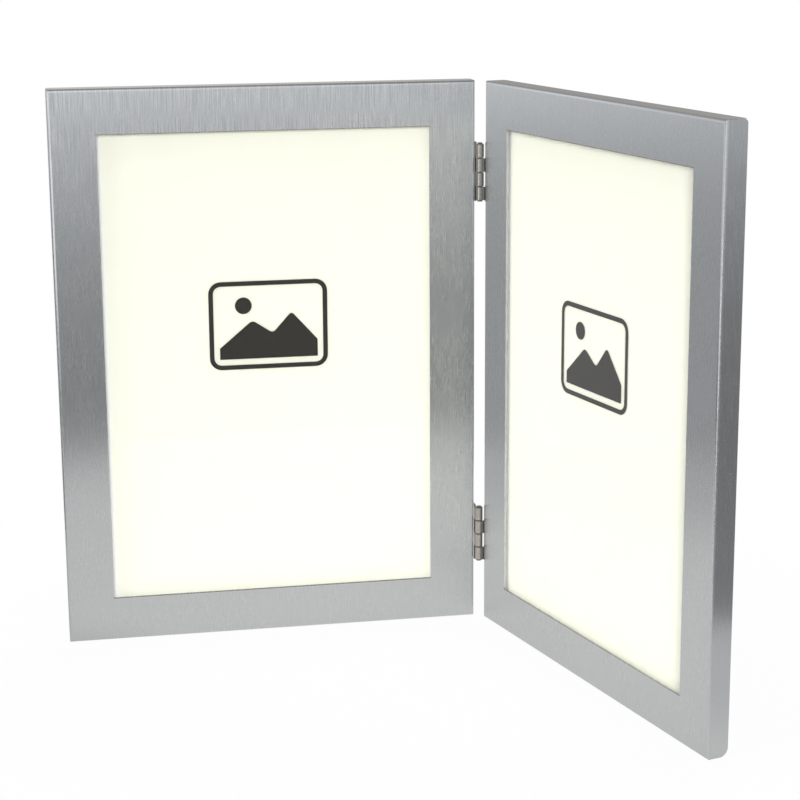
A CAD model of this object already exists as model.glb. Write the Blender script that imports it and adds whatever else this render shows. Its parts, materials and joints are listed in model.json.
# %% [markdown]
# # A hinged double photo frame
# Two portrait frames of folded, brushed aluminium stand half open like a book, held together by two small
# nickel-plated butt hinges. Each one holds a pane of glass over an ivory paper insert, and a
# velour-covered back that four turn buttons keep in. The exact solids come in first, in metres, with the
# fronts facing -Y. Pieces whose shape is already right only get a finish. The folded sheets, the hinges,
# the fittings and the velour are modelled again here, because their rounded folds and edges are what
# catches the light.

import json
import math

import bmesh
import bpy
from mathutils import Matrix, Vector

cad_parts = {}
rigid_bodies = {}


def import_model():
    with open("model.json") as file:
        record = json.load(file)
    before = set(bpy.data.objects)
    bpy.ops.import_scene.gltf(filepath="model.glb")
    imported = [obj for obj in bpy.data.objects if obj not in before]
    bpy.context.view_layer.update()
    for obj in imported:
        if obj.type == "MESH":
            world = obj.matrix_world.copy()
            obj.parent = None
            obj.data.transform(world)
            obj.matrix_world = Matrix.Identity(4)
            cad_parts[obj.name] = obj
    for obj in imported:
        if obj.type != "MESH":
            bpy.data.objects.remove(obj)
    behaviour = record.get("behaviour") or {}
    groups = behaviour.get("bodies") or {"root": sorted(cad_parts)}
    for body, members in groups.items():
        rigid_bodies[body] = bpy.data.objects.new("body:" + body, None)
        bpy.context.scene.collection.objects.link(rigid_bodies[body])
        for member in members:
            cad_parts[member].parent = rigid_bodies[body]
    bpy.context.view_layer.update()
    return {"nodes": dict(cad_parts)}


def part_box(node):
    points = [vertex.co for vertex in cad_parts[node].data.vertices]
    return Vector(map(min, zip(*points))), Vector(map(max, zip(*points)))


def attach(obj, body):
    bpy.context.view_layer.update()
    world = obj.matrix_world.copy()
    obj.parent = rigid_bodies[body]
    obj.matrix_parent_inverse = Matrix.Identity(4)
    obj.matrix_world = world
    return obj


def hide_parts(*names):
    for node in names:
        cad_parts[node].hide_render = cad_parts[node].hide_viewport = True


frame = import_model()
bpy.ops.object.select_all(action="DESELECT")

# %% [markdown]
# ## Two tilted frames, one straight drawing board
# Both wings turn about one upright pin, by the same angle to either side. It is easier to model each
# piece on a wing that lies straight along X, with the pin at the origin, and to turn the finished piece
# into place. The side is -1 for the left wing and 1 for the right one.

# %% Shared sizes, in metres
MM = 0.001
OPENING_ANGLE = 105
SWING = math.radians((180 - OPENING_ANGLE) / 2)
PIN_TO_SIDE = 1.6 * MM
PIN_AHEAD = 1.1 * MM
FRAME_WIDTH = 155 * MM
FRAME_HEIGHT = 206 * MM
FRAME_DEPTH = 8 * MM
SIDE_BORDER = 17 * MM
END_BORDER = 16.4 * MM
HINGE_HEIGHTS = {"upper": 172.5 * MM, "lower": 33.5 * MM}
BARREL = 21 * MM
KNUCKLES = 4
PLATE_FRONT = 1.75 * MM
PLATE_REAR = 8.1 * MM
LEAF_MIDDLE = (PLATE_FRONT + PLATE_REAR) / 2
BACK_WIDTH = 127 * MM
BACK_HEIGHT = 178 * MM
WING_MIDDLE = PIN_TO_SIDE + FRAME_WIDTH / 2
pitch = BARREL / KNUCKLES
window_width = FRAME_WIDTH - 2 * SIDE_BORDER
window_height = FRAME_HEIGHT - 2 * END_BORDER
SIDES = {"left": -1, "right": 1}
pin_low, pin_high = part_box("upper_hinge_pin")
PIN_Y = (pin_low.y + pin_high.y) / 2
print("window", round(window_width / MM, 1), "x", round(window_height / MM, 1), "mm, pin at", round(PIN_Y, 5))


# %% Helpers for placing
def wing_matrix(side):
    """From the straight drawing board to the wing's real place."""
    return Matrix.Translation((0, PIN_Y, 0)) @ Matrix.Rotation(-side * SWING, 4, "Z")


def on_wing(side, x=0.0, y=0.0, z=0.0):
    """To a real place on a wing: x from its middle, y behind its front, z above the floor."""
    return wing_matrix(side) @ Matrix.Translation((side * WING_MIDDLE + x, PIN_AHEAD + y, z))


def only(piece):
    """Object mode, with nothing but this piece selected and active."""
    if bpy.context.mode != "OBJECT":
        bpy.ops.object.mode_set(mode="OBJECT")
    bpy.ops.object.select_all(action="DESELECT")
    piece.select_set(True)
    bpy.context.view_layer.objects.active = piece
    return piece


def settle(piece, matrix=Matrix.Identity(4)):
    """Puts a piece's place into its mesh, so that its object sits at the origin."""
    piece.matrix_world = matrix @ piece.matrix_basis
    only(piece)
    bpy.ops.object.transform_apply(location=True, rotation=True, scale=True)
    return piece


print("placing helpers ready")

# %% [markdown]
# ## The camera
# The straight edges of the two frames meet at known corners, so a least-squares fit of those corners
# gives the place, the direction and the focal length. A long lens, about 94 mm, keeps the perspective
# calm.

# %% Camera
CAMERA_PLACE = Vector((0.3233, PIN_Y - 0.6989, 0.2721))
CAMERA_AZIMUTH = math.radians(27.054)
CAMERA_ELEVATION = math.radians(13.579)
CAMERA_ROLL = math.radians(-0.355)
CAMERA_LENS = 94.17

bpy.ops.object.camera_add(location=CAMERA_PLACE)
camera = bpy.context.object
camera.name = "camera"
camera.rotation_mode = "QUATERNION"
level = Matrix.Rotation(CAMERA_AZIMUTH, 3, "Z") @ Matrix.Rotation(math.pi / 2 - CAMERA_ELEVATION, 3, "X")
camera.rotation_quaternion = (level @ Matrix.Rotation(CAMERA_ROLL, 3, "Z")).to_quaternion()
camera.data.lens = CAMERA_LENS
bpy.context.scene.camera = camera
bpy.context.scene.view_settings.view_transform = "Standard"
print("camera looks along", [round(x, 4) for x in camera.matrix_basis.to_3x3() @ Vector((0, 0, -1))])

# %% [markdown]
# ## Small helpers for shader nodes
# A finish is built from a few kinds of node again and again, so each kind gets a short helper. A value
# that is handed to one may be a plain number or the output of another node.

# %% Shader helpers
WHITE = (1, 1, 1, 1)


def join(start, end):
    """Links an output to an input."""
    end.id_data.links.new(start, end)


def feed(socket, value):
    """Links an output to a socket, or sets the socket to a plain value."""
    if isinstance(value, bpy.types.NodeSocket):
        join(value, socket)
    else:
        socket.default_value = value


def node(kind, *values, tree=None, **settings):
    """The outputs of a new node, whose inputs take the values in order.

    It stands in the tree that is handed in, or else in the tree of the first output among its values.
    """
    tree = tree or next(value.id_data for value in values if isinstance(value, bpy.types.NodeSocket))
    made = tree.nodes.new("ShaderNode" + kind)
    for name, setting in settings.items():
        setattr(made, name, setting)
    for socket, value in zip(made.inputs, values):
        feed(socket, value)
    return made.outputs


def calc(operation, *values):
    """One sum on numbers."""
    return node("Math", *values, operation=operation)["Value"]


def blend(first, second, share):
    """Two masks added up, the first one by its share."""
    return calc("ADD", calc("MULTIPLY", first, share), calc("MULTIPLY", second, 1 - share))


def split(place):
    """The three parts of a vector, by the names of the axes."""
    return node("SeparateXYZ", place)


def spread(value, low, high, to_low=0.0, to_high=1.0):
    """Spreads the stretch from low to high over another one, softly at its ends."""
    return node("MapRange", value, low, high, to_low, to_high, interpolation_type="SMOOTHSTEP")["Result"]


def spread_even(value):
    """Turns a number between -1 and 1 into one between 0 and 1."""
    return calc("MULTIPLY_ADD", value, 0.5, 0.5)


def tint(mask, dark, light):
    """A colour between two, by a mask."""
    made = mask.id_data.nodes.new("ShaderNodeMix")
    made.data_type = "RGBA"
    feed(made.inputs["Factor"], mask)
    for label, colour in (("A", dark), ("B", light)):
        socket = next(s for s in made.inputs if s.name == label and s.type == "RGBA")
        feed(socket, colour if isinstance(colour, bpy.types.NodeSocket) else (*colour, 1))
    return next(s for s in made.outputs if s.type == "RGBA")


def noise(place, scale, detail=2.0, roughness=0.5):
    """Soft random spots at a place."""
    made = place.id_data.nodes.new("ShaderNodeTexNoise")
    for label, value in (("Vector", place), ("Scale", scale), ("Detail", detail), ("Roughness", roughness)):
        feed(made.inputs[label], value)
    return made.outputs["Fac"]


def bump(height, depth, below=None):
    """A normal that is tilted by a height map of a depth in metres."""
    made = height.id_data.nodes.new("ShaderNodeBump")
    feed(made.inputs["Height"], height)
    made.inputs["Distance"].default_value = depth
    if below is not None:
        feed(made.inputs["Normal"], below)
    return made.outputs["Normal"]


def group(name, inputs, output):
    """An empty shader node group. A default of None makes a vector input, and a number a value input."""
    made = bpy.data.node_groups.new(name, "ShaderNodeTree")
    for label, value in inputs.items():
        kind = "NodeSocketVector" if value is None else "NodeSocketFloat"
        socket = made.interface.new_socket(label, in_out="INPUT", socket_type=kind)
        if value is not None:
            socket.default_value = value
    made.interface.new_socket(output, in_out="OUTPUT", socket_type="NodeSocketFloat")
    return made, made.nodes.new("NodeGroupInput").outputs, made.nodes.new("NodeGroupOutput").inputs[output]


def use(effect, **values):
    """Places a node group in a material, with this material's own values."""
    made = values["vector"].id_data.nodes.new("ShaderNodeGroup")
    made.node_tree = effect
    for label, value in values.items():
        feed(made.inputs[label.capitalize()], value)
    return made.outputs[0]


print("shader helpers ready")

# %% [markdown]
# ## Room, floor and lamps
# The room is plain and white, and what the camera sees of it is pure white. Brushed metal needs something
# to mirror, though. It gets a room that is brightest straight in front, where a window would be, darker
# well to the sides of that, fairly bright again at right angles to it, and dim behind. From floor to
# ceiling it is bright about the horizon and dimmer above, with a soft dark band below, as the edge of a
# table makes in a studio. Three soft spots stand for a lamp at the right, a lamp in front and a pale wall
# at the left. Soft light on paper and cloth comes from the same room at one even strength.

# %% Room
AMBIENT = 0.24
WINDOW_SIDE = Vector((0.15, -0.99, 0.0))
WARM_WHITE = (1.0, 0.955, 0.9)
COOL_WHITE = (0.97, 0.985, 1.0)
# how far a direction turns to the window side, from 0 away from it to 1 towards it, and its brightness
ROOM_ROUND = [
    (0.0, 0.44),
    (0.06, 0.6),
    (0.2, 0.8),
    (0.3, 0.95),
    (0.41, 1.08),
    (0.5, 0.58),
    (0.66, 0.54),
    (0.78, 0.78),
    (0.88, 0.88),
    (0.94, 0.76),
    (0.985, 1.1),
    (1.0, 1.2),
]
# the height of a direction, from 0 straight down to 1 straight up, and what its brightness is multiplied by
ROOM_HEIGHT = [
    (0.0, 0.8),
    (0.3, 0.52),
    (0.34, 0.4),
    (0.37, 0.3),
    (0.4, 0.32),
    (0.43, 0.42),
    (0.447, 0.72),
    (0.456, 1.0),
    (0.475, 1.2),
    (0.62, 1.1),
    (0.74, 0.5),
    (1.0, 0.4),
]
# a ramp's colours stop at 1, so the ramps hold each brightness as a share of this one
RAMP_TOP = 2.0
# azimuth and height in degrees as seen from the frames, radius in degrees, and brightness
SPOTS = {
    "lamp at the right": (62, 2, 12, 0.4),
    "lamp in front": (-14, -12, 7, 4.0),
    "pale wall at the left": (-97, -15, 10, 0.47),
}


def profile(place, stops):
    """A soft curve through a few brightnesses."""
    made = place.id_data.nodes.new("ShaderNodeValToRGB")
    made.color_ramp.interpolation = "B_SPLINE"
    while len(made.color_ramp.elements) < len(stops):
        made.color_ramp.elements.new(0.5)
    for stop, (where, bright) in zip(made.color_ramp.elements, stops):
        stop.position = where
        stop.color = (*[bright / RAMP_TOP] * 3, 1)
    feed(made.inputs["Fac"], place)
    return calc("MULTIPLY", made.outputs["Color"], RAMP_TOP)


def spot(direction, azimuth, height, radius, bright):
    """A soft round brightness about one direction."""
    azimuth, height, radius = (math.radians(angle) for angle in (azimuth, height, radius))
    middle = (math.sin(azimuth) * math.cos(height), -math.cos(azimuth) * math.cos(height), math.sin(height))
    off = node("VectorMath", direction, middle, operation="DOT_PRODUCT")["Value"]
    return spread(off, math.cos(radius), 1.0, 0.0, bright)


world = bpy.data.worlds.new("room")
bpy.context.scene.world = world
world.use_nodes = True
tree = world.node_tree
tree.nodes.clear()
direction = node("TexCoord", tree=tree)["Generated"]
towards = node("VectorMath", direction, WINDOW_SIDE, operation="DOT_PRODUCT")["Value"]
round_about = profile(spread_even(towards), ROOM_ROUND)
up_down = profile(spread_even(split(direction)["Z"]), ROOM_HEIGHT)
brightness = calc("MULTIPLY", round_about, up_down)
for place in SPOTS.values():
    brightness = calc("ADD", brightness, spot(direction, *place))
colour = tint(spread(towards, -0.9, -0.5), WARM_WHITE, COOL_WHITE)
mirrored = node("Background", colour, brightness)["Background"]
plain = node("Background", WHITE, AMBIENT, tree=tree)["Background"]
seen = node("Background", WHITE, tree=tree)["Background"]
path = node("LightPath", tree=tree)
by_gloss = node("MixShader", path["Is Glossy Ray"], plain, mirrored)["Shader"]
by_camera = calc("MAXIMUM", path["Is Camera Ray"], path["Is Transmission Ray"])
node("OutputWorld", node("MixShader", by_camera, by_gloss, seen)["Shader"])
print("room:", len(ROOM_ROUND), "stops round about and", len(ROOM_HEIGHT), "from floor to ceiling")

# %% [markdown]
# The floor is a pale disc. To the camera it glows almost white, so that only a faint shadow of the frames
# is left on it, and towards its rim it fades into the white room. Metal mirrors it nearly even, as a
# large studio floor looks: a little dimmer to the sides and the front, with one darker patch behind the
# left wing.

# %% Floor
FLOOR_RADIUS = 0.265
FLOOR_DROP = 0.2 * MM
FLOOR_GREY = 0.6
FLOOR_GLOW = 0.96
FLOOR_EVENNESS = 0.85
SHADED_MIDDLE = Vector((-0.18, -0.03, 0.0))
SHADED_REACH = Vector((0.09, 0.06, 1.0))
bpy.ops.mesh.primitive_circle_add(
    vertices=96, radius=FLOOR_RADIUS, fill_type="NGON", location=(0, 0, -FLOOR_DROP)
)
floor = bpy.context.object
floor.name = "floor"
pale = bpy.data.materials.new("pale floor")
pale.use_nodes = True
tree = pale.node_tree
tree.nodes.clear()
place = node("TexCoord", tree=tree)["Object"]
parts = split(place)
to_the_side = calc("MAXIMUM", spread(parts["X"], -0.08, -0.2), spread(parts["X"], 0.1, 0.2))
to_the_front = spread(parts["Y"], 0.03, -0.2)
even = tint(to_the_front, (0.81, 0.81, 0.80), (0.73, 0.73, 0.72))
even = tint(to_the_side, even, (0.6, 0.6, 0.6))
off = node(
    "VectorMath",
    place,
    [1 / reach for reach in SHADED_REACH],
    [-middle / reach for middle, reach in zip(SHADED_MIDDLE, SHADED_REACH)],
    operation="MULTIPLY_ADD",
)["Vector"]
shaded = spread(node("VectorMath", off, operation="LENGTH")["Value"], 0.0, 1.0, 1.0, 0.0)
in_metal = node("Emission", tint(shaded, even, (0.43, 0.43, 0.43)))["Emission"]
lit = node("BsdfDiffuse", (FLOOR_GREY, FLOOR_GREY, FLOOR_GREY, 1), tree=tree)["BSDF"]
glow = node("Emission", WHITE, tree=tree)["Emission"]
from_middle = node("VectorMath", place, operation="LENGTH")["Value"]
share = spread(from_middle, 0.5 * FLOOR_RADIUS, 0.95 * FLOOR_RADIUS, FLOOR_GLOW, 1.0)
path = node("LightPath", tree=tree)
by_gloss = calc("MULTIPLY", path["Is Glossy Ray"], FLOOR_EVENNESS)
by_gloss = node("MixShader", by_gloss, lit, in_metal)["Shader"]
by_camera = calc("MAXIMUM", path["Is Camera Ray"], path["Is Transmission Ray"])
by_camera = calc("MULTIPLY", share, by_camera)
node("OutputMaterial", node("MixShader", by_camera, by_gloss, glow)["Shader"])
floor.data.materials.append(pale)
print("floor radius", FLOOR_RADIUS)

# %% [markdown]
# Four soft boxes light paper, cloth and floor. Metal doesn't mirror them, since the room above already
# holds all that it shows.

# %% Lamps
AIM = Vector((0, 0, 0.1))
# place, width and power
LAMPS = {
    "left soft box": ((-1.3, -1.45, 0.6), 1.0, 17.0),
    "soft box by the camera": ((0.9, -1.8, 0.6), 0.8, 28.0),
    "top light": ((0.0, -0.1, 2.0), 1.2, 25.0),
    "back light": ((-0.2, 1.5, 1.5), 1.4, 22.0),
}
for name, (place, width, power) in LAMPS.items():
    bpy.ops.object.light_add(type="AREA", location=place)
    lamp = bpy.context.object
    lamp.name = name
    lamp.data.shape = "SQUARE"
    lamp.data.size = width
    lamp.data.energy = power
    lamp.visible_glossy = False
    lamp.rotation_euler = (AIM - Vector(place)).to_track_quat("-Z", "Y").to_euler()
print("lamps:", ", ".join(LAMPS))

# %% [markdown]
# ## Effects that several finishes share
# Brushing, polishing and punching all leave fine parallel lines, only at other sizes. Fibre board, card,
# paper, plating and flock all have a grain. And wherever hands and cloths touch, edges wear a little.
# Each effect is a node group that puts out one mask, so that a material can use it for colour, gloss and
# relief.

# %% Brush lines
brush_lines, given, result = group("brush lines", {"Vector": None, "Across": 0.0004, "Along": 0.01}, "Lines")
per_metre = [calc("DIVIDE", 1.0, given[label]) for label in ("Across", "Along")]
scale = node("CombineXYZ", *per_metre, 1.0)["Vector"]
stretched = node("VectorMath", given["Vector"], scale, operation="MULTIPLY")["Vector"]
feed(result, spread(noise(stretched, 1.0, 3.0, 0.55), 0.3, 0.7))
print("group:", brush_lines.name)

# %% Grain
grain, given, result = group("grain", {"Vector": None, "Size": 0.001, "Contrast": 0.2}, "Grain")
spots = noise(given["Vector"], calc("DIVIDE", 1.0, given["Size"]), 4.0, 0.6)
low = calc("SUBTRACT", 0.5, given["Contrast"])
high = calc("ADD", 0.5, given["Contrast"])
feed(result, spread(spots, low, high))
print("group:", grain.name)

# %% Worn edges
worn_edges, given, result = group("worn edges", {"Vector": None, "Distance": 0.0, "Width": 0.001}, "Worn")
rubbed = spread(calc("ABSOLUTE", given["Distance"]), 0.0, given["Width"], 1.0, 0.0)
patches = spread(noise(given["Vector"], 90.0, 3.0), 0.35, 0.65, 0.25, 1.0)
feed(result, calc("MULTIPLY", rubbed, patches))
print("group:", worn_edges.name)


# %% [markdown]
# ## Finishes
# Numbers that are the same all over a surface, such as how metallic it is, sit on the shader itself.
# Colour, roughness and relief come from the effects above. Patterns read the unfolded sheet's own map
# where lines run over a fold, and plain object coordinates elsewhere.

# %% Starting and ending a finish
def finish(name, **plain):
    """A new material with plain values set by name on its shader, and its object coordinates."""
    material = bpy.data.materials.new(name)
    material.use_nodes = True
    shader = material.node_tree.nodes["Principled BSDF"].inputs
    for label, value in plain.items():
        shader[label.replace("_", " ").title().replace("Ior", "IOR")].default_value = value
    return material, node("TexCoord", tree=material.node_tree)["Object"]


def dress(material, **effects):
    """Feeds effects into a material's shader, by the names of its inputs."""
    shader = material.node_tree.nodes["Principled BSDF"].inputs
    for label, effect in effects.items():
        feed(shader[label.replace("_", " ").title()], effect)
    print("finish:", material.name)


def flat_map(material, width, height):
    """The unfolded map, and how far a point on it lies outside a rectangle about the frame's middle."""
    flat = node("UVMap", tree=material.node_tree, uv_map="flat_sheet")["UV"]
    parts = split(flat)
    sideways = calc("SUBTRACT", calc("ABSOLUTE", parts["X"]), width / 2)
    upright = calc("SUBTRACT", calc("ABSOLUTE", calc("SUBTRACT", parts["Y"], FRAME_HEIGHT / 2)), height / 2)
    return flat, calc("MAXIMUM", sideways, upright)


def at_level_edge(place, reach):
    """1 as high up as the window's top or bottom edge, and 0 elsewhere."""
    from_middle = calc("ABSOLUTE", calc("SUBTRACT", split(place)["Z"], FRAME_HEIGHT / 2))
    return calc("COMPARE", from_middle, window_height / 2, reach)


# %% [markdown]
# ### Brushed aluminium
# The sheet was brushed from top to bottom while it was flat, so its lines run upright on the front and on
# over the folds. Grooves blur a reflection across themselves and keep it sharp along themselves: that is
# what anisotropy does, with the tangent laid across the grooves. Wider streaks break the reflection up,
# most at the top of the left wing. The folds and the window's edge are rubbed a little brighter in
# patches, while the window's level rims and the level parts of its cut edge stayed dark.

# %% Brushed aluminium
RIM = 0.22 * MM
brushed, place = finish("brushed aluminium", metallic=1, anisotropic=0.93)
flat, from_fold = flat_map(brushed, FRAME_WIDTH, FRAME_HEIGHT)
flat, from_window = flat_map(brushed, window_width, window_height)
fine = use(brush_lines, vector=flat, across=0.3 * MM, along=14 * MM)
wide = use(brush_lines, vector=flat, across=0.6 * MM, along=8 * MM)
cloudy = use(grain, vector=flat, size=22 * MM, contrast=0.25)
edge = calc("MINIMUM", calc("ABSOLUTE", from_fold), calc("ABSOLUTE", from_window))
worn = use(worn_edges, vector=flat, distance=edge, width=0.7 * MM)
level_rim = calc("MULTIPLY", at_level_edge(place, RIM), calc("COMPARE", from_window, 0.0, RIM))
parts = split(place)
at_the_top = spread(parts["Z"], 0.7 * FRAME_HEIGHT, 0.95 * FRAME_HEIGHT)
coarse = calc("MULTIPLY", at_the_top, spread(parts["X"], 0.02, -0.02))
lines = blend(fine, wide, 0.45)
metal = tint(lines, (0.62, 0.635, 0.645), (0.65, 0.665, 0.675))
metal = tint(coarse, metal, tint(fine, (0.55, 0.565, 0.575), (0.72, 0.73, 0.74)))
metal = tint(calc("MULTIPLY", worn, 0.3), metal, (0.80, 0.81, 0.82))
dress(
    brushed,
    base_color=tint(level_rim, metal, (0.30, 0.30, 0.26)),
    roughness=calc("ADD", spread(lines, 0.0, 1.0, 0.23, 0.27), calc("MULTIPLY", cloudy, 0.02)),
    normal=bump(wide, 0.0011 * MM, bump(fine, 0.0007 * MM)),
    tangent=node("Tangent", tree=brushed.node_tree, direction_type="UV_MAP", uv_map="flat_sheet")["Tangent"],
)

# %% Cut edge of the sheet
cut_edge, place = finish("cut aluminium edge", metallic=0.3)
marks = use(brush_lines, vector=place, across=0.12 * MM, along=0.12 * MM)
broad = use(grain, vector=place, size=3 * MM, contrast=0.2)
bare = tint(marks, (0.82, 0.82, 0.80), (0.93, 0.93, 0.92))
dress(
    cut_edge,
    base_color=tint(at_level_edge(place, 0.2 * MM), bare, (0.16, 0.16, 0.13)),
    roughness=spread(broad, 0.0, 1.0, 0.55, 0.7),
    normal=bump(marks, 0.006 * MM),
)

# %% [markdown]
# ### Nickel and zinc
# The hinges are rolled from thin plated strip. Nickel is slightly warm and fairly glossy, with fine
# polishing lines. Old grease sits in the joints between the knuckles and on their flanks, close to the
# frames, where no cloth reaches. The fittings on the back are zinc plated: duller and cloudy, with a
# faint yellow.

# %% Nickel plating
GREASE = (0.06, 0.055, 0.05)
nickel, place = finish("nickel plating", metallic=1)
polish = use(brush_lines, vector=place, across=2.5 * MM, along=2.5 * MM)
pits = use(grain, vector=place, size=0.35 * MM, contrast=0.16)
x, y, z = split(place)
on_the_level = node("CombineXYZ", x, y, 0.0)["Vector"]
from_axis = node("VectorMath", on_the_level, (0, PIN_Y, 0), operation="DISTANCE")["Value"]
from_hinges = [calc("ABSOLUTE", calc("SUBTRACT", z, height)) for height in HINGE_HEIGHTS.values()]
from_joint = calc("PINGPONG", calc("MINIMUM", *from_hinges), pitch / 2)
in_joint = spread(from_joint, 0.1 * MM, 0.4 * MM, 1.0, 0.0)
on_barrel = spread(from_axis, 1.55 * MM, 1.75 * MM, 0.8, 0.0)
left_flank = spread(x, -1.15 * MM, -0.55 * MM, 0.8, 0.0)
right_flank = spread(x, 0.95 * MM, 1.4 * MM, 0.0, 0.5)
grime = calc("MULTIPLY", in_joint, on_barrel)
grime = calc("MAXIMUM", grime, calc("MAXIMUM", left_flank, right_flank))
plated = tint(pits, (0.43, 0.405, 0.365), (0.58, 0.55, 0.50))
dress(
    nickel,
    base_color=tint(grime, plated, GREASE),
    roughness=spread(polish, 0.0, 1.0, 0.1, 0.17),
    normal=bump(pits, 0.004 * MM),
)

# %% Zinc plating
zinc, place = finish("zinc plating", metallic=1)
cloudy = use(grain, vector=place, size=4 * MM, contrast=0.14)
pits = use(grain, vector=place, size=0.3 * MM, contrast=0.2)
dress(
    zinc,
    base_color=tint(cloudy, (0.50, 0.51, 0.53), (0.62, 0.59, 0.50)),
    roughness=spread(pits, 0.0, 1.0, 0.28, 0.42),
    normal=bump(pits, 0.008 * MM),
)

# %% [markdown]
# ### Glass
# Clean picture glass is almost nothing but its reflection. Lamp rays and the soft light that paper
# gathers go straight through it by a transparent shader, because Cycles would otherwise have to find its
# way to the lamps through the pane. Its rear face touches the paper and is left out, so nothing is
# mirrored twice. Faint smudges vary how sharp the reflection is.

# %% Glass
glass, place = finish("picture glass", transmission_weight=1, ior=1.5, specular_ior_level=0.15)
smudges = use(grain, vector=place, size=35 * MM, contrast=0.2)
dress(
    glass,
    base_color=tint(smudges, (0.985, 0.995, 0.99), (0.995, 1.0, 0.995)),
    roughness=spread(smudges, 0.0, 1.0, 0.0, 0.02),
)
tree = glass.node_tree
path = node("LightPath", tree=tree)
soft = calc("MAXIMUM", path["Is Shadow Ray"], path["Is Diffuse Ray"])
soft = calc("MAXIMUM", soft, node("NewGeometry", tree=tree)["Backfacing"])
pane = tree.nodes["Principled BSDF"].outputs["BSDF"]
nothing = node("BsdfTransparent", tree=tree)["BSDF"]
join(node("MixShader", soft, pane, nothing)["Shader"], tree.nodes["Material Output"].inputs["Surface"])
print(glass.name, "lets shadow and diffuse rays straight through")

# %% [markdown]
# ### Paper, ink, card, boards and flock
# The insert is heavy ivory paper with a faint tooth. Its print is a matt black-brown ink that lies a
# little uneven. Card, hardboard and fibre board are pressed from fibres of different length. The velour
# is a short black flock: hardly any colour, but a soft sheen where its pile leans, which is what the
# sheen setting gives.

# %% Paper
PAPER_MARGIN = {"left": 1.4 * MM, "right": 0.6 * MM}
PRINT_BLUR = 0.1 * MM


def printed_paper(name, side):
    """White paper with an ivory tone printed on it, which stops just short of the window's left edge."""
    material, place = finish(f"{name} ivory paper", specular_ior_level=0.3)
    tooth = use(grain, vector=place, size=0.4 * MM, contrast=0.25)
    cloudy = use(grain, vector=place, size=9 * MM, contrast=0.3)
    ivory = tint(blend(tooth, cloudy, 0.5), (0.95, 0.955, 0.82), (0.97, 0.975, 0.845))
    wing = wing_matrix(side).inverted()
    along = node("VectorMath", place, wing.to_3x3()[0], operation="DOT_PRODUCT")["Value"]
    edge = side * WING_MIDDLE - window_width / 2 + PAPER_MARGIN[name] - wing.translation.x
    printed = spread(along, edge - PRINT_BLUR, edge + PRINT_BLUR)
    dress(
        material,
        base_color=tint(printed, (0.97, 0.975, 0.97), ivory),
        roughness=spread(tooth, 0.0, 1.0, 0.72, 0.84),
        normal=bump(tooth, 0.006 * MM),
    )
    return material


papers = {name: printed_paper(name, side) for name, side in SIDES.items()}

# %% Ink
ink, place = finish("matt ink", specular_ior_level=0.35)
uneven = use(grain, vector=place, size=0.5 * MM, contrast=0.2)
dress(
    ink,
    base_color=tint(uneven, (0.014, 0.012, 0.009), (0.026, 0.023, 0.018)),
    roughness=spread(uneven, 0.0, 1.0, 0.5, 0.68),
    normal=bump(uneven, 0.003 * MM),
)


# %% Boards and card
def pressed_fibres(name, dark, light, size, depth):
    """A board or card pressed from fibres: flecks of one size over slow changes of tone."""
    material, place = finish(name, specular_ior_level=0.25)
    flecks = use(grain, vector=place, size=size, contrast=0.16)
    cloudy = use(grain, vector=place, size=14 * size, contrast=0.3)
    dress(
        material,
        base_color=tint(blend(flecks, cloudy, 0.7), dark, light),
        roughness=spread(flecks, 0.0, 1.0, 0.78, 0.95),
        normal=bump(flecks, depth),
    )
    return material


fibre_board = pressed_fibres("fibre board", (0.27, 0.17, 0.09), (0.46, 0.315, 0.185), 0.7 * MM, 0.03 * MM)
grey_card = pressed_fibres("grey card", (0.36, 0.29, 0.20), (0.52, 0.43, 0.31), 0.9 * MM, 0.012 * MM)
hardboard = pressed_fibres("hardboard", (0.10, 0.055, 0.028), (0.21, 0.125, 0.07), 1.1 * MM, 0.03 * MM)

# %% Velour
velour, place = finish(
    "black velour",
    sheen_weight=0.55,
    sheen_roughness=0.35,
    sheen_tint=(0.62, 0.62, 0.66, 1),
    specular_ior_level=0.1,
)
flat, from_rim = flat_map(velour, BACK_WIDTH, BACK_HEIGHT)
pile = use(grain, vector=flat, size=0.35 * MM, contrast=0.18)
lean = use(grain, vector=flat, size=18 * MM, contrast=0.16)
worn = use(worn_edges, vector=flat, distance=from_rim, width=1.4 * MM)
lit_pile = calc("MULTIPLY", pile, spread(lean, 0.0, 1.0, 0.55, 1.0))
flock = tint(lit_pile, (0.006, 0.006, 0.007), (0.03, 0.03, 0.034))
dress(
    velour,
    base_color=tint(calc("MULTIPLY", worn, 0.35), flock, (0.075, 0.073, 0.075)),
    roughness=spread(pile, 0.0, 1.0, 0.86, 1.0),
    normal=bump(pile, 0.12 * MM, bump(lean, 0.25 * MM)),
)

# %% [markdown]
# ## Pieces whose solid is already right
# The four rails, the glass, the insert, the card and the board are flat, sharp-edged pieces in real life
# too. They keep their solids and only get their finish.

# %% Finishes on the solids
def coat(piece, *materials):
    """Gives a piece its materials, in the order of its slots."""
    piece.data.materials.clear()
    for material in materials:
        piece.data.materials.append(material)


PLAIN_PIECES = {
    "hinge_rail": fibre_board,
    "outer_rail": fibre_board,
    "top_rail": fibre_board,
    "bottom_rail": fibre_board,
    "glass": glass,
    "filler_card": grey_card,
    "back_board": hardboard,
}
for side in SIDES:
    for label, material in PLAIN_PIECES.items():
        coat(frame["nodes"][f"{side}_{label}"], material)
    coat(frame["nodes"][f"{side}_photo_insert"], papers[side])
print("finished solids:", len(SIDES) * (len(PLAIN_PIECES) + 1))

# %% [markdown]
# ## Tools for modelling
# Every new piece starts as a primitive at its real size and is then shaped in edit mode, as by hand.
# Operators act on all that is selected, so each step first selects exactly the faces, edges or points
# that it means, by where they lie or which way they face.

# %% Modelling helpers
TINY = 0.01 * MM
SMOOTH_BELOW = math.radians(40)
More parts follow.
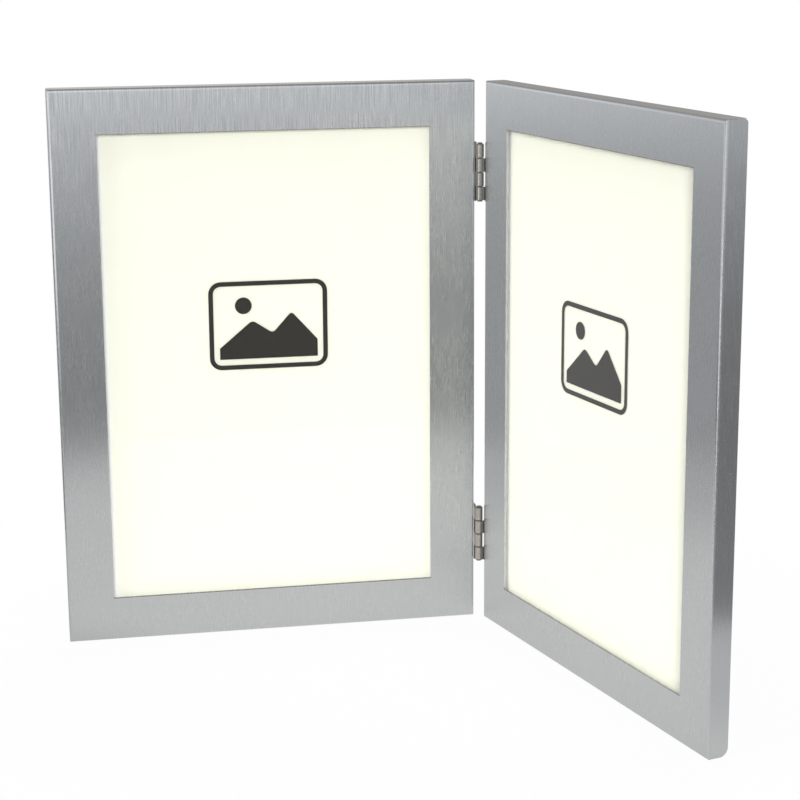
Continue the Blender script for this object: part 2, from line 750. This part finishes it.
# how far a face's normal reaches along an axis if it looks that way, and if it looks straight that way
FACING = 0.9
SQUARE_ON = 0.9999


def box(name, low, high):
    """A cube primitive stretched between two corners."""
    low, high = Vector(low), Vector(high)
    bpy.ops.mesh.primitive_cube_add(size=1, location=(low + high) / 2, scale=high - low)
    return named(settle(bpy.context.object), name)


def named(piece, name):
    """The piece, with its object and mesh called by one name."""
    piece.name = name
    piece.data.name = name
    return piece


def pick(piece, kind, test):
    """In edit mode, selects exactly the verts, edges or faces of a piece that pass the test."""
    if bpy.context.mode != "EDIT_MESH":
        only(piece)
        bpy.ops.object.mode_set(mode="EDIT")
    bpy.ops.mesh.select_mode(type={"verts": "VERT", "edges": "EDGE", "faces": "FACE"}[kind])
    bpy.ops.mesh.select_all(action="DESELECT")
    mesh = bmesh.from_edit_mesh(piece.data)
    chosen = [item for item in getattr(mesh, kind) if test(item)]
    for item in chosen:
        item.select_set(True)
    mesh.select_flush_mode()
    bmesh.update_edit_mesh(piece.data)
    return len(chosen)


def ends(edge, test):
    """True if both ends of an edge pass the test."""
    return all(test(vert.co) for vert in edge.verts)


def near(a, b):
    """True if two lengths are the same but for rounding."""
    return abs(a - b) < TINY


def push(x=0.0, y=0.0, z=0.0):
    """Extrudes what is selected by a distance along each axis."""
    bpy.ops.mesh.extrude_region_move(TRANSFORM_OT_translate={"value": (x, y, z)})


def close_up(piece):
    """Turns all faces of a piece outwards and ends its editing."""
    pick(piece, "faces", lambda face: True)
    bpy.ops.mesh.normals_make_consistent(inside=False)
    bpy.ops.object.mode_set(mode="OBJECT")
    return piece


def slice_at(piece, place, normal):
    """Cuts new edges where a plane crosses the piece, and keeps both halves."""
    pick(piece, "faces", lambda face: True)
    bpy.ops.mesh.bisect(plane_co=place, plane_no=normal, use_fill=False)


def modify(piece, kind, **settings):
    """Adds a modifier and applies it."""
    only(piece)
    made = piece.modifiers.new(kind, kind)
    for name, value in settings.items():
        setattr(made, name, value)
    bpy.ops.object.modifier_apply(modifier=made.name)
    return piece


def cut_away(piece, cutter):
    """Takes the cutter's shape out of the piece, and removes the cutter."""
    modify(piece, "BOOLEAN", operation="DIFFERENCE", object=cutter, solver="EXACT")
    bpy.data.objects.remove(cutter)
    return piece


def soften(piece, width, segments=2, angle=50):
    """Breaks the sharp edges, as tumbling or deburring does, and shades the rest smooth.

    The normals lean to the larger face, so that a flat face beside a broken edge still mirrors as a flat one.
    """
    modify(
        piece,
        "BEVEL",
        width=width,
        segments=segments,
        limit_method="ANGLE",
        angle_limit=math.radians(angle),
    )
    bpy.ops.object.shade_smooth_by_angle(angle=SMOOTH_BELOW)
    return modify(piece, "WEIGHTED_NORMAL", weight=100, keep_sharp=True)


def copy_of(piece, name):
    """A copy with a mesh of its own."""
    copied = piece.copy()
    copied.data = piece.data.copy()
    bpy.context.scene.collection.objects.link(copied)
    return named(copied, name)


def report(piece):
    """Prints a piece's size in millimetres, and how many of its edges don't have exactly two faces."""
    mesh = bmesh.new()
    mesh.from_mesh(piece.data)
    count = sum(len(edge.link_faces) != 2 for edge in mesh.edges)
    mesh.free()
    print(piece.name + ":", [round(size / MM, 2) for size in piece.dimensions], count, "open edges")


print("modelling helpers ready")

# %% [markdown]
# ## The folded sheet
# Each front is one sheet of aluminium with a window punched out and four sides folded back. By hand it
# starts as a block without a back: its four front edges are rounded to the fold, a thin strip is taken
# out where two sides meet, because folded sides never quite touch, and the rear corners are nipped round.
# Only then does it get its thickness, so that every wall is equally thick, like real sheet.

# %% Sizes of the sheet
SHEET = 0.8 * MM
FOLD_RADIUS = 1.1 * MM
SEAM = 0.25 * MM
SEAM_FRONT = 1.4 * MM
BOTTOM_NIP = 3 * MM
TOP_NIP = 1.2 * MM
NIP_BAND = 1 * MM
BURR = 0.09 * MM
print("sheet of", SHEET, "m, folded to", FOLD_RADIUS, "m outside")


# %% Fold, seams and window
def folded_sheet():
    """The sheet about its own middle, front at Y = 0 and standing on Z = 0."""
    half = FRAME_WIDTH / 2
    sheet = box("folded_sheet", (-half, 0, 0), (half, FRAME_DEPTH, FRAME_HEIGHT))
    pick(sheet, "faces", lambda face: face.normal.y > FACING)
    bpy.ops.mesh.delete(type="ONLY_FACE")

    pick(sheet, "edges", lambda edge: ends(edge, lambda co: near(co.y, 0)))
    bpy.ops.mesh.bevel(offset=FOLD_RADIUS, segments=7, profile=0.5, affect="EDGES")

    slice_at(sheet, (0, SEAM_FRONT, 0), (0, 1, 0))
    at_corner = lambda co: near(abs(co.x), half) and (near(co.z, 0) or near(co.z, FRAME_HEIGHT))
    pick(sheet, "edges", lambda edge: ends(edge, lambda co: at_corner(co) and co.y > SEAM_FRONT - TINY))
    bpy.ops.mesh.bevel(offset=SEAM / math.sqrt(2), segments=1, affect="EDGES")

    def in_seam(face):
        aslant = min(abs(face.normal.x), abs(face.normal.z)) > 0.5
        return aslant and face.calc_center_median().y > SEAM_FRONT

    pick(sheet, "faces", in_seam)
    bpy.ops.mesh.delete(type="FACE")

    top = FRAME_HEIGHT + TINY
    for radius, low, high in ((BOTTOM_NIP, -TINY, NIP_BAND), (TOP_NIP, FRAME_HEIGHT - NIP_BAND, top)):
        pick(sheet, "verts", lambda vert: near(vert.co.y, FRAME_DEPTH) and low < vert.co.z < high)
        bpy.ops.mesh.bevel(offset=radius, segments=6, profile=0.5, affect="VERTICES")

    pick(sheet, "faces", lambda face: face.normal.y < -SQUARE_ON)
    bpy.ops.mesh.inset(thickness=END_BORDER - FOLD_RADIUS)
    stretch = window_width / (FRAME_WIDTH - 2 * END_BORDER)
    bpy.ops.transform.resize(value=(stretch, 1, 1), center_override=(0, 0, FRAME_HEIGHT / 2))
    bpy.ops.mesh.delete(type="FACE")
    bpy.ops.object.mode_set(mode="OBJECT")
    return sheet


def lay_flat(sheet):
    """A UV map in metres that unfolds the sheet, so that the brush lines run on over every fold."""
    unfolded = sheet.data.uv_layers.new(name="flat_sheet")
    for face in sheet.data.polygons:
        folded = abs(face.normal.y) < 0.99
        sideways = abs(face.normal.x) >= abs(face.normal.z)
        for corner in face.loop_indices:
            x, y, z = sheet.data.vertices[sheet.data.loops[corner].vertex_index].co
            if folded and sideways:
                x += math.copysign(y, x)
            elif folded:
                z += math.copysign(y, z - FRAME_HEIGHT / 2)
            unfolded.data[corner].uv = (x, z)


sheet = folded_sheet()
print("unthickened sheet:", len(sheet.data.polygons), "faces")

# %% Thickness, screw holes and broken edges
LEAF_SCREW_OFFSETS = {"top": 6 * MM, "bottom": -6 * MM}
LEAF_SCREW_RADIUS = 0.9 * MM
SCREW_ROOM = 0.1 * MM
DRILL_REACH = 3 * MM
for _ in (brushed, cut_edge):
    sheet.data.materials.append(None)
modify(sheet, "SOLIDIFY", thickness=SHEET, offset=-1, use_even_offset=True, material_offset_rim=1)
for name, side in SIDES.items():
    shell = copy_of(sheet, f"{name}_folded_sheet")
    for height in HINGE_HEIGHTS.values():
        for offset in LEAF_SCREW_OFFSETS.values():
            bpy.ops.mesh.primitive_cylinder_add(
                vertices=32,
                radius=LEAF_SCREW_RADIUS + SCREW_ROOM,
                depth=DRILL_REACH,
                location=(-side * FRAME_WIDTH / 2, LEAF_MIDDLE - PIN_AHEAD, height + offset),
                rotation=(0, math.pi / 2, 0),
            )
            cut_away(shell, bpy.context.object)
    soften(shell, BURR)
    lay_flat(shell)
    settle(shell, on_wing(side))
    coat(shell, brushed, cut_edge)
    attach(shell, f"{name}_frame")
    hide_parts(f"{name}_front_shell")
    report(shell)
bpy.data.objects.remove(sheet)

# %% [markdown]
# ## The butt hinges
# A small butt hinge is stamped from strip: fingers on one edge of the plate are rolled into knuckles
# round the pin. By hand it is the same: the plate is sliced at the ends of its own knuckles, the fingers
# are extruded to beside the pin, and their ends are spun round it by 300 degrees, so that the roll stays
# open at the back.

# %% Sizes of a hinge
KNUCKLE = 1.45 * MM
STRIP = 0.6 * MM
PLATE_HALF = 10.9 * MM
PLATE_CORNER = 1 * MM
KNUCKLE_GAP = 0.28 * MM
ROLL = math.radians(300)
ROLL_STEPS = 40
WELD = 0.001 * MM
LEAF_HEAD_RADIUS = 1.65 * MM
LEAF_HEAD_DEPTH = 0.6 * MM
knuckle_spans = []
for index in range(KNUCKLES):
    top = BARREL / 2 - index * pitch - KNUCKLE_GAP / 2
    knuckle_spans.append((top - pitch + KNUCKLE_GAP, top))
print("knuckles:", [(round(low / MM, 2), round(high / MM, 2)) for low, high in knuckle_spans])


# %% One leaf
def countersink(side, height):
    """A cone to cut the seat of a leaf screw, wide at the face that shows when the frames are apart."""
    margin = 0.1 * MM
    slope = (LEAF_HEAD_RADIUS - LEAF_SCREW_RADIUS) / LEAF_HEAD_DEPTH
    bpy.ops.mesh.primitive_cone_add(
        vertices=40,
        radius1=LEAF_SCREW_RADIUS + SCREW_ROOM - slope * margin,
        radius2=LEAF_HEAD_RADIUS + SCREW_ROOM + slope * margin,
        depth=STRIP + 2 * margin,
        location=(side * (KNUCKLE - STRIP / 2), LEAF_MIDDLE, height),
        rotation=(0, -side * math.pi / 2, 0),
    )
    return bpy.context.object


def hinge_leaf(name, side, own):
    """A leaf about the pin, with its plate on one side and the knuckles that it owns."""
    inner, outer = side * (KNUCKLE - STRIP), side * KNUCKLE
    low, high = min(inner, outer), max(inner, outer)
    leaf = box(name, (low, PLATE_FRONT, -PLATE_HALF), (high, PLATE_REAR, PLATE_HALF))
    spans = [knuckle_spans[index] for index in own]
    for height in {end for span in spans for end in span}:
        slice_at(leaf, (0, 0, height), (0, 0, 1))

    def is_finger(face):
        height = face.calc_center_median().z
        return face.normal.y < -FACING and any(bottom < height < top for bottom, top in spans)

    pick(leaf, "faces", is_finger)
    push(y=-PLATE_FRONT)
    bpy.ops.mesh.spin(steps=ROLL_STEPS, angle=ROLL, center=(0, 0, 0), axis=(0, 0, side))

    at_rear = lambda co: near(co.y, PLATE_REAR) and near(abs(co.z), PLATE_HALF)
    pick(leaf, "edges", lambda edge: ends(edge, at_rear))
    bpy.ops.mesh.bevel(offset=PLATE_CORNER, segments=6, affect="EDGES")
    pick(leaf, "faces", lambda face: True)
    bpy.ops.mesh.remove_doubles(threshold=WELD)
    close_up(leaf)
    for offset in LEAF_SCREW_OFFSETS.values():
        cut_away(leaf, countersink(side, offset))
    return soften(leaf, 0.1 * MM)


OWN_KNUCKLES = {"left": (0, 2), "right": (1, 3)}
for name, side in SIDES.items():
    pattern = hinge_leaf(f"{name}_leaf_pattern", side, OWN_KNUCKLES[name])
    report(pattern)
    for hinge, height in HINGE_HEIGHTS.items():
        leaf = copy_of(pattern, f"{hinge}_hinge_{name}_rolled_leaf")
        settle(leaf, wing_matrix(side) @ Matrix.Translation((0, 0, height)))
        coat(leaf, nickel)
        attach(leaf, f"{name}_frame")
        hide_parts(f"{hinge}_hinge_{name}_leaf")
    bpy.data.objects.remove(pattern)

# %% [markdown]
# ## Pins and screws
# Everything round is turned: a disc whose face is extruded and scaled, ring by ring, along a profile. The
# pins get low domed heads, as riveting leaves them. The screws get threads and a cross recess that
# narrows inwards.

# %% Turning
RECESS_TAPER = 0.62
ABOVE_RECESS = 0.5 * MM
# one turn of a thread: shares of its radius, and how far down its lead each of them lies
THREAD_TURN = ((0.74, 0.15), (1, 0.55), (0.74, 0.9))


def in_metres(outline):
    """Radii and heights that are noted in millimetres."""
    return [(radius * MM, height * MM) for radius, height in outline]


def turned(name, rings, sides=32):
    """A closed turned piece about Z. rings lists radius and height, from one flat end to the other."""
    (radius, height), *rest = rings
    place = (0, 0, height)
    bpy.ops.mesh.primitive_circle_add(vertices=sides, radius=radius, fill_type="NGON", location=place)
    piece = named(settle(bpy.context.object), name)
    pick(piece, "faces", lambda face: True)
    for next_radius, next_height in rest:
        push(z=next_height - height)
        grow = next_radius / radius
        bpy.ops.transform.resize(value=(grow, grow, 1), center_override=(0, 0, next_height))
        radius, height = next_radius, next_height
    return close_up(piece)


def cross_recess(piece, length, width, depth):
    """Cuts the two crossed slots of a driver into a head whose top is at height 0."""
    for along, across in ((length, width), (width, length)):
        slot = box("slot", (-along / 2, -across / 2, -depth), (along / 2, across / 2, ABOVE_RECESS))
        pick(slot, "faces", lambda face: face.normal.z < -FACING)
        bpy.ops.transform.resize(value=(RECESS_TAPER, RECESS_TAPER, 1), center_override=(0, 0, -depth))
        bpy.ops.object.mode_set(mode="OBJECT")
        cut_away(piece, slot)


def thread(radius, start, end, lead):
    """Rings of a thread from one height down to another."""
    rings = []
    for index in range(int((start - end) / lead)):
        top = start - index * lead
        rings += [(radius * share, top - drop * lead) for share, drop in THREAD_TURN]
    return rings


print("turning helpers ready")

# %% Hinge pins
PIN_RADIUS = 0.8 * MM
PIN_HEAD = 1.05 * MM
PIN_END = 10.65 * MM
PIN_HEAD_RISE = 0.3 * MM
# the dome of a pin's head: shares of its radius and of its rise
PIN_DOME = ((0.45, 1), (0.85, 0.75), (1, 0.3), (1, 0))
head = [(PIN_HEAD * radius, PIN_HEAD_RISE * rise) for radius, rise in PIN_DOME]
rings = [(radius, -PIN_END - rise) for radius, rise in head]
rings += [(PIN_RADIUS, -PIN_END), (PIN_RADIUS, PIN_END)]
rings += [(radius, PIN_END + rise) for radius, rise in reversed(head)]
pattern = turned("pin_pattern", rings, 40)
soften(pattern, 0.04 * MM, angle=60)
for hinge, height in HINGE_HEIGHTS.items():
    pin = copy_of(pattern, f"{hinge}_hinge_riveted_pin")
    settle(pin, wing_matrix(-1) @ Matrix.Translation((0, 0, height)))
    coat(pin, nickel)
    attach(pin, "left_frame")
    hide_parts(f"{hinge}_hinge_pin")
bpy.data.objects.remove(pattern)
print("pins:", list(HINGE_HEIGHTS))

# %% Leaf screws
rings = in_metres([(1.6, 0), (1.65, -0.05), (0.9, -0.6), (0.9, -1.8)])
rings += thread(LEAF_SCREW_RADIUS, -1.8 * MM, -7.4 * MM, 0.8 * MM)
rings += in_metres([(0.62, -7.5), (0.12, -9)])
pattern = turned("leaf_screw_pattern", rings, 28)
cross_recess(pattern, 1.9 * MM, 0.5 * MM, 0.45 * MM)
soften(pattern, 0.03 * MM, angle=60)
for name, side in SIDES.items():
    for hinge, height in HINGE_HEIGHTS.items():
        for row, offset in LEAF_SCREW_OFFSETS.items():
            screw = copy_of(pattern, f"{hinge}_hinge_{name}_countersunk_screw_{row}")
            seat = Matrix.Translation((side * (KNUCKLE - STRIP), LEAF_MIDDLE, height + offset))
            driven = 0.5 * offset / MM + side
            turn = Matrix.Rotation(-side * math.pi / 2, 4, "Y") @ Matrix.Rotation(driven, 4, "Z")
            settle(screw, wing_matrix(side) @ seat @ turn)
            coat(screw, nickel)
            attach(screw, f"{name}_frame")
            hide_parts(f"{hinge}_hinge_{name}_screw_{row}")
bpy.data.objects.remove(pattern)
print("leaf screws placed")

# %% [markdown]
# ## Turn buttons
# Four stamped buttons hold each back in. The outline is the hull of two discs, a large one round the
# screw and a small one at the tip. A shallow dent stiffens it, and its edges are broken.

# %% One turn button
BUTTON_SPOTS = {"upper": 149 * MM, "lower": 57 * MM}
BUTTON_PIVOT = 70.3 * MM
BUTTON_FRONT = 7.9 * MM
BUTTON_SHEET = 0.7 * MM
HUB = 4 * MM
TIP = 2.5 * MM
TIP_PLACE = 9.3 * MM
BUTTON_RIM = 0.9 * MM
DENT_SLOPE = 0.25 * MM
DENT_DEPTH = 0.14 * MM
BUTTON_HOLE = 1.2 * MM
BUTTON_SCREW_TOP = 9.8 * MM


def turn_button(name):
    """A button with its hub at the origin, its tip along +X and its front at Y = 0."""
    placed = []
    for radius, x in ((HUB, 0), (TIP, TIP_PLACE)):
        bpy.ops.mesh.primitive_cylinder_add(
            vertices=48,
            radius=radius,
            depth=BUTTON_SHEET,
            location=(x, BUTTON_SHEET / 2, 0),
            rotation=(math.pi / 2, 0, 0),
        )
        placed.append(settle(bpy.context.object))
    button = only(placed[0])
    placed[1].select_set(True)
    bpy.ops.object.join()
    named(button, name)
    pick(button, "verts", lambda vert: True)
    bpy.ops.mesh.convex_hull()
    bpy.ops.mesh.dissolve_limited(angle_limit=math.radians(1))
    pick(button, "faces", lambda face: face.normal.y > FACING)
    bpy.ops.mesh.inset(thickness=BUTTON_RIM)
    bpy.ops.mesh.inset(thickness=DENT_SLOPE)
    bpy.ops.transform.translate(value=(0, -DENT_DEPTH, 0))
    bpy.ops.object.mode_set(mode="OBJECT")
    bpy.ops.mesh.primitive_cylinder_add(
        vertices=32, radius=BUTTON_HOLE, depth=4 * BUTTON_SHEET, rotation=(math.pi / 2, 0, 0)
    )
    cut_away(button, bpy.context.object)
    return soften(button, 0.1 * MM, angle=60)


button_pattern = turn_button("button_pattern")
report(button_pattern)

# %% Their round-headed screws
dome = [(0.4, 0), (1.15, -0.1), (1.85, -0.36), (2.3, -0.7), (2.5, -1.02), (2.5, -1.1)]
rings = in_metres(dome + [(1.1, -1.1), (1.1, -2.2)])
rings += thread(1.1 * MM, -2.2 * MM, -5.6 * MM, 0.9 * MM)
rings += in_metres([(0.8, -5.7), (0.14, -7.1)])
screw_pattern = turned("button_screw_pattern", rings, 36)
cross_recess(screw_pattern, 2.6 * MM, 0.6 * MM, 0.75 * MM)
soften(screw_pattern, 0.04 * MM, angle=60)
report(screw_pattern)

# %% All turn buttons and screws in place
for name, side in SIDES.items():
    for column, column_side in (("outer", side), ("hinge", -side)):
        for row, height in BUTTON_SPOTS.items():
            label = f"{column}_{row}"
            x = column_side * BUTTON_PIVOT
            button = copy_of(button_pattern, f"{name}_stamped_button_{label}")
            facing_in = Matrix.Rotation(math.pi * (column_side > 0), 4, "Y")
            settle(button, on_wing(side, x, BUTTON_FRONT, height) @ facing_in)
            coat(button, zinc)
            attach(button, f"{name}_turn_button_{label}")
            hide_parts(f"{name}_turn_button_{label}")
            screw = copy_of(screw_pattern, f"{name}_round_headed_screw_{label}")
            driven = 0.7 * side + 0.4 * column_side + height / (40 * MM)
            turn = Matrix.Rotation(-math.pi / 2, 4, "X") @ Matrix.Rotation(driven, 4, "Z")
            settle(screw, on_wing(side, x, BUTTON_SCREW_TOP, height) @ turn)
            coat(screw, zinc)
            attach(screw, f"{name}_frame")
            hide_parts(f"{name}_button_screw_{label}")
for pattern in (button_pattern, screw_pattern):
    bpy.data.objects.remove(pattern)

# %% [markdown]
# ## Velour on the back board
# The cloth is glued over the board's rear face and round its four edges, so its edges are soft. It is a
# block without a front, rounded, and then given the cloth's thickness inwards.

# %% Velour
BACK_FRONT = 4.65 * MM
BACK_REAR = 7.75 * MM
CLOTH = 0.4 * MM
CLOTH_EDGE = 0.6 * MM
half_gap = (FRAME_HEIGHT - BACK_HEIGHT) / 2
tray = box(
    "velour_pattern",
    (-BACK_WIDTH / 2, BACK_FRONT, half_gap),
    (BACK_WIDTH / 2, BACK_REAR, FRAME_HEIGHT - half_gap),
)
pick(tray, "faces", lambda face: face.normal.y < -FACING)
bpy.ops.mesh.delete(type="ONLY_FACE")


def is_wrapped(edge):
    """True for the edges round the rear face and the four that run forwards from its corners."""
    round_the_rear = ends(edge, lambda co: near(co.y, BACK_REAR))
    at_the_sides = ends(edge, lambda co: near(abs(co.x), BACK_WIDTH / 2))
    return round_the_rear or (at_the_sides and len(edge.link_faces) == 2)


pick(tray, "edges", is_wrapped)
bpy.ops.mesh.bevel(offset=CLOTH_EDGE, segments=4, profile=0.5, affect="EDGES")
modify(tray, "SOLIDIFY", thickness=CLOTH, offset=-1, use_even_offset=True)
bpy.ops.object.shade_smooth_by_angle(angle=SMOOTH_BELOW)
lay_flat(tray)
for name, side in SIDES.items():
    cover = copy_of(tray, f"{name}_velour_cover")
    settle(cover, on_wing(side))
    coat(cover, velour)
    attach(cover, f"{name}_frame")
    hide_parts(f"{name}_velour_backing")
    report(cover)
bpy.data.objects.remove(tray)

# %% [markdown]
# ## The print on the inserts
# A frame is sold with a printed sheet in it. This one shows a plain sign for a picture: a rounded outline
# with a sun over two hills. Each shape is a flat polygon, extruded by a film of ink, and it lies on the
# paper.

# %% Ink shapes
INK = 0.02 * MM
PAPER_FRONT = 2.5 * MM
SIGN_MIDDLE = 118 * MM
SIGN_WIDTH = 44 * MM
SIGN_HEIGHT = 33 * MM
SIGN_LINE = 1.7 * MM
SIGN_CORNER = 4.5 * MM
PEAK_ROUND = 1.3 * MM
# corners of the hills, and the sun's middle and radius, in millimetres from the sign's middle
HILLS = [(-18.2, -12.6), (18.2, -12.6), (18.2, -6.2), (8.6, 4.6), (1.6, -3.2), (-6.0, 1.8), (-18.2, -8.4)]
SUN = (-9.2, 7.4, 3.1)


def ink_film(shape):
    """Gives a flat shape the thickness of the ink, from the paper's face forwards."""
    pick(shape, "faces", lambda face: True)
    push(y=-INK)
    return close_up(shape)


def upright(piece):
    """Stands a flat primitive up, so that it faces the front."""
    return settle(piece, Matrix.Rotation(math.pi / 2, 4, "X"))


bpy.ops.mesh.primitive_plane_add(size=1)
outline = upright(bpy.context.object)
settle(outline, Matrix.Diagonal((SIGN_WIDTH, 1, SIGN_HEIGHT, 1)))
pick(outline, "verts", lambda vert: True)
bpy.ops.mesh.bevel(offset=SIGN_CORNER, segments=8, affect="VERTICES")
pick(outline, "faces", lambda face: True)
bpy.ops.mesh.inset(thickness=SIGN_LINE)
bpy.ops.mesh.delete(type="FACE")
ink_film(outline)

bpy.ops.mesh.primitive_circle_add(vertices=40, radius=SUN[2] * MM, fill_type="NGON")
sun = upright(bpy.context.object)
ink_film(settle(sun, Matrix.Translation((SUN[0] * MM, 0, SUN[1] * MM))))

bpy.ops.mesh.primitive_circle_add(vertices=len(HILLS), radius=10 * MM, fill_type="NGON")
hills = upright(bpy.context.object)
corners = [vert.co.copy() for vert in hills.data.vertices]
for start, (x, z) in zip(corners, HILLS):
    pick(hills, "verts", lambda vert: (vert.co - start).length < TINY)
    bpy.ops.transform.translate(value=Vector((x * MM, 0, z * MM)) - start)
peaks = [HILLS[3], HILLS[5], HILLS[4]]
is_peak = lambda co: any(near(co.x, x * MM) and near(co.z, z * MM) for x, z in peaks)
pick(hills, "verts", lambda vert: is_peak(vert.co))
bpy.ops.mesh.bevel(offset=PEAK_ROUND, segments=4, affect="VERTICES")
ink_film(hills)
print("ink shapes:", len(HILLS), "corners for the hills")

# %% Signs in place
only(outline)
sun.select_set(True)
hills.select_set(True)
bpy.ops.object.join()
named(outline, "sign_pattern")
for name, side in SIDES.items():
    sign = copy_of(outline, f"{name}_picture_sign")
    settle(sign, on_wing(side, 0, PAPER_FRONT, SIGN_MIDDLE))
    coat(sign, ink)
    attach(sign, f"{name}_frame")
    report(sign)
bpy.data.objects.remove(outline)

# %% [markdown]
# ## A calm reflection
# In the photograph the metal and the glass of the right wing show nothing of the left wing, as if a plain
# card had stood between them. The left wing, with its halves of the hinges, therefore sends nothing to
# glossy rays, so that the right wing mirrors the plain room in its place.

# %% The left wing is kept out of reflections
unmirrored = [piece for piece in bpy.data.objects if "left_" in piece.name]
for piece in unmirrored:
    piece.visible_glossy = False
print("kept out of reflections:", len(unmirrored), "pieces")
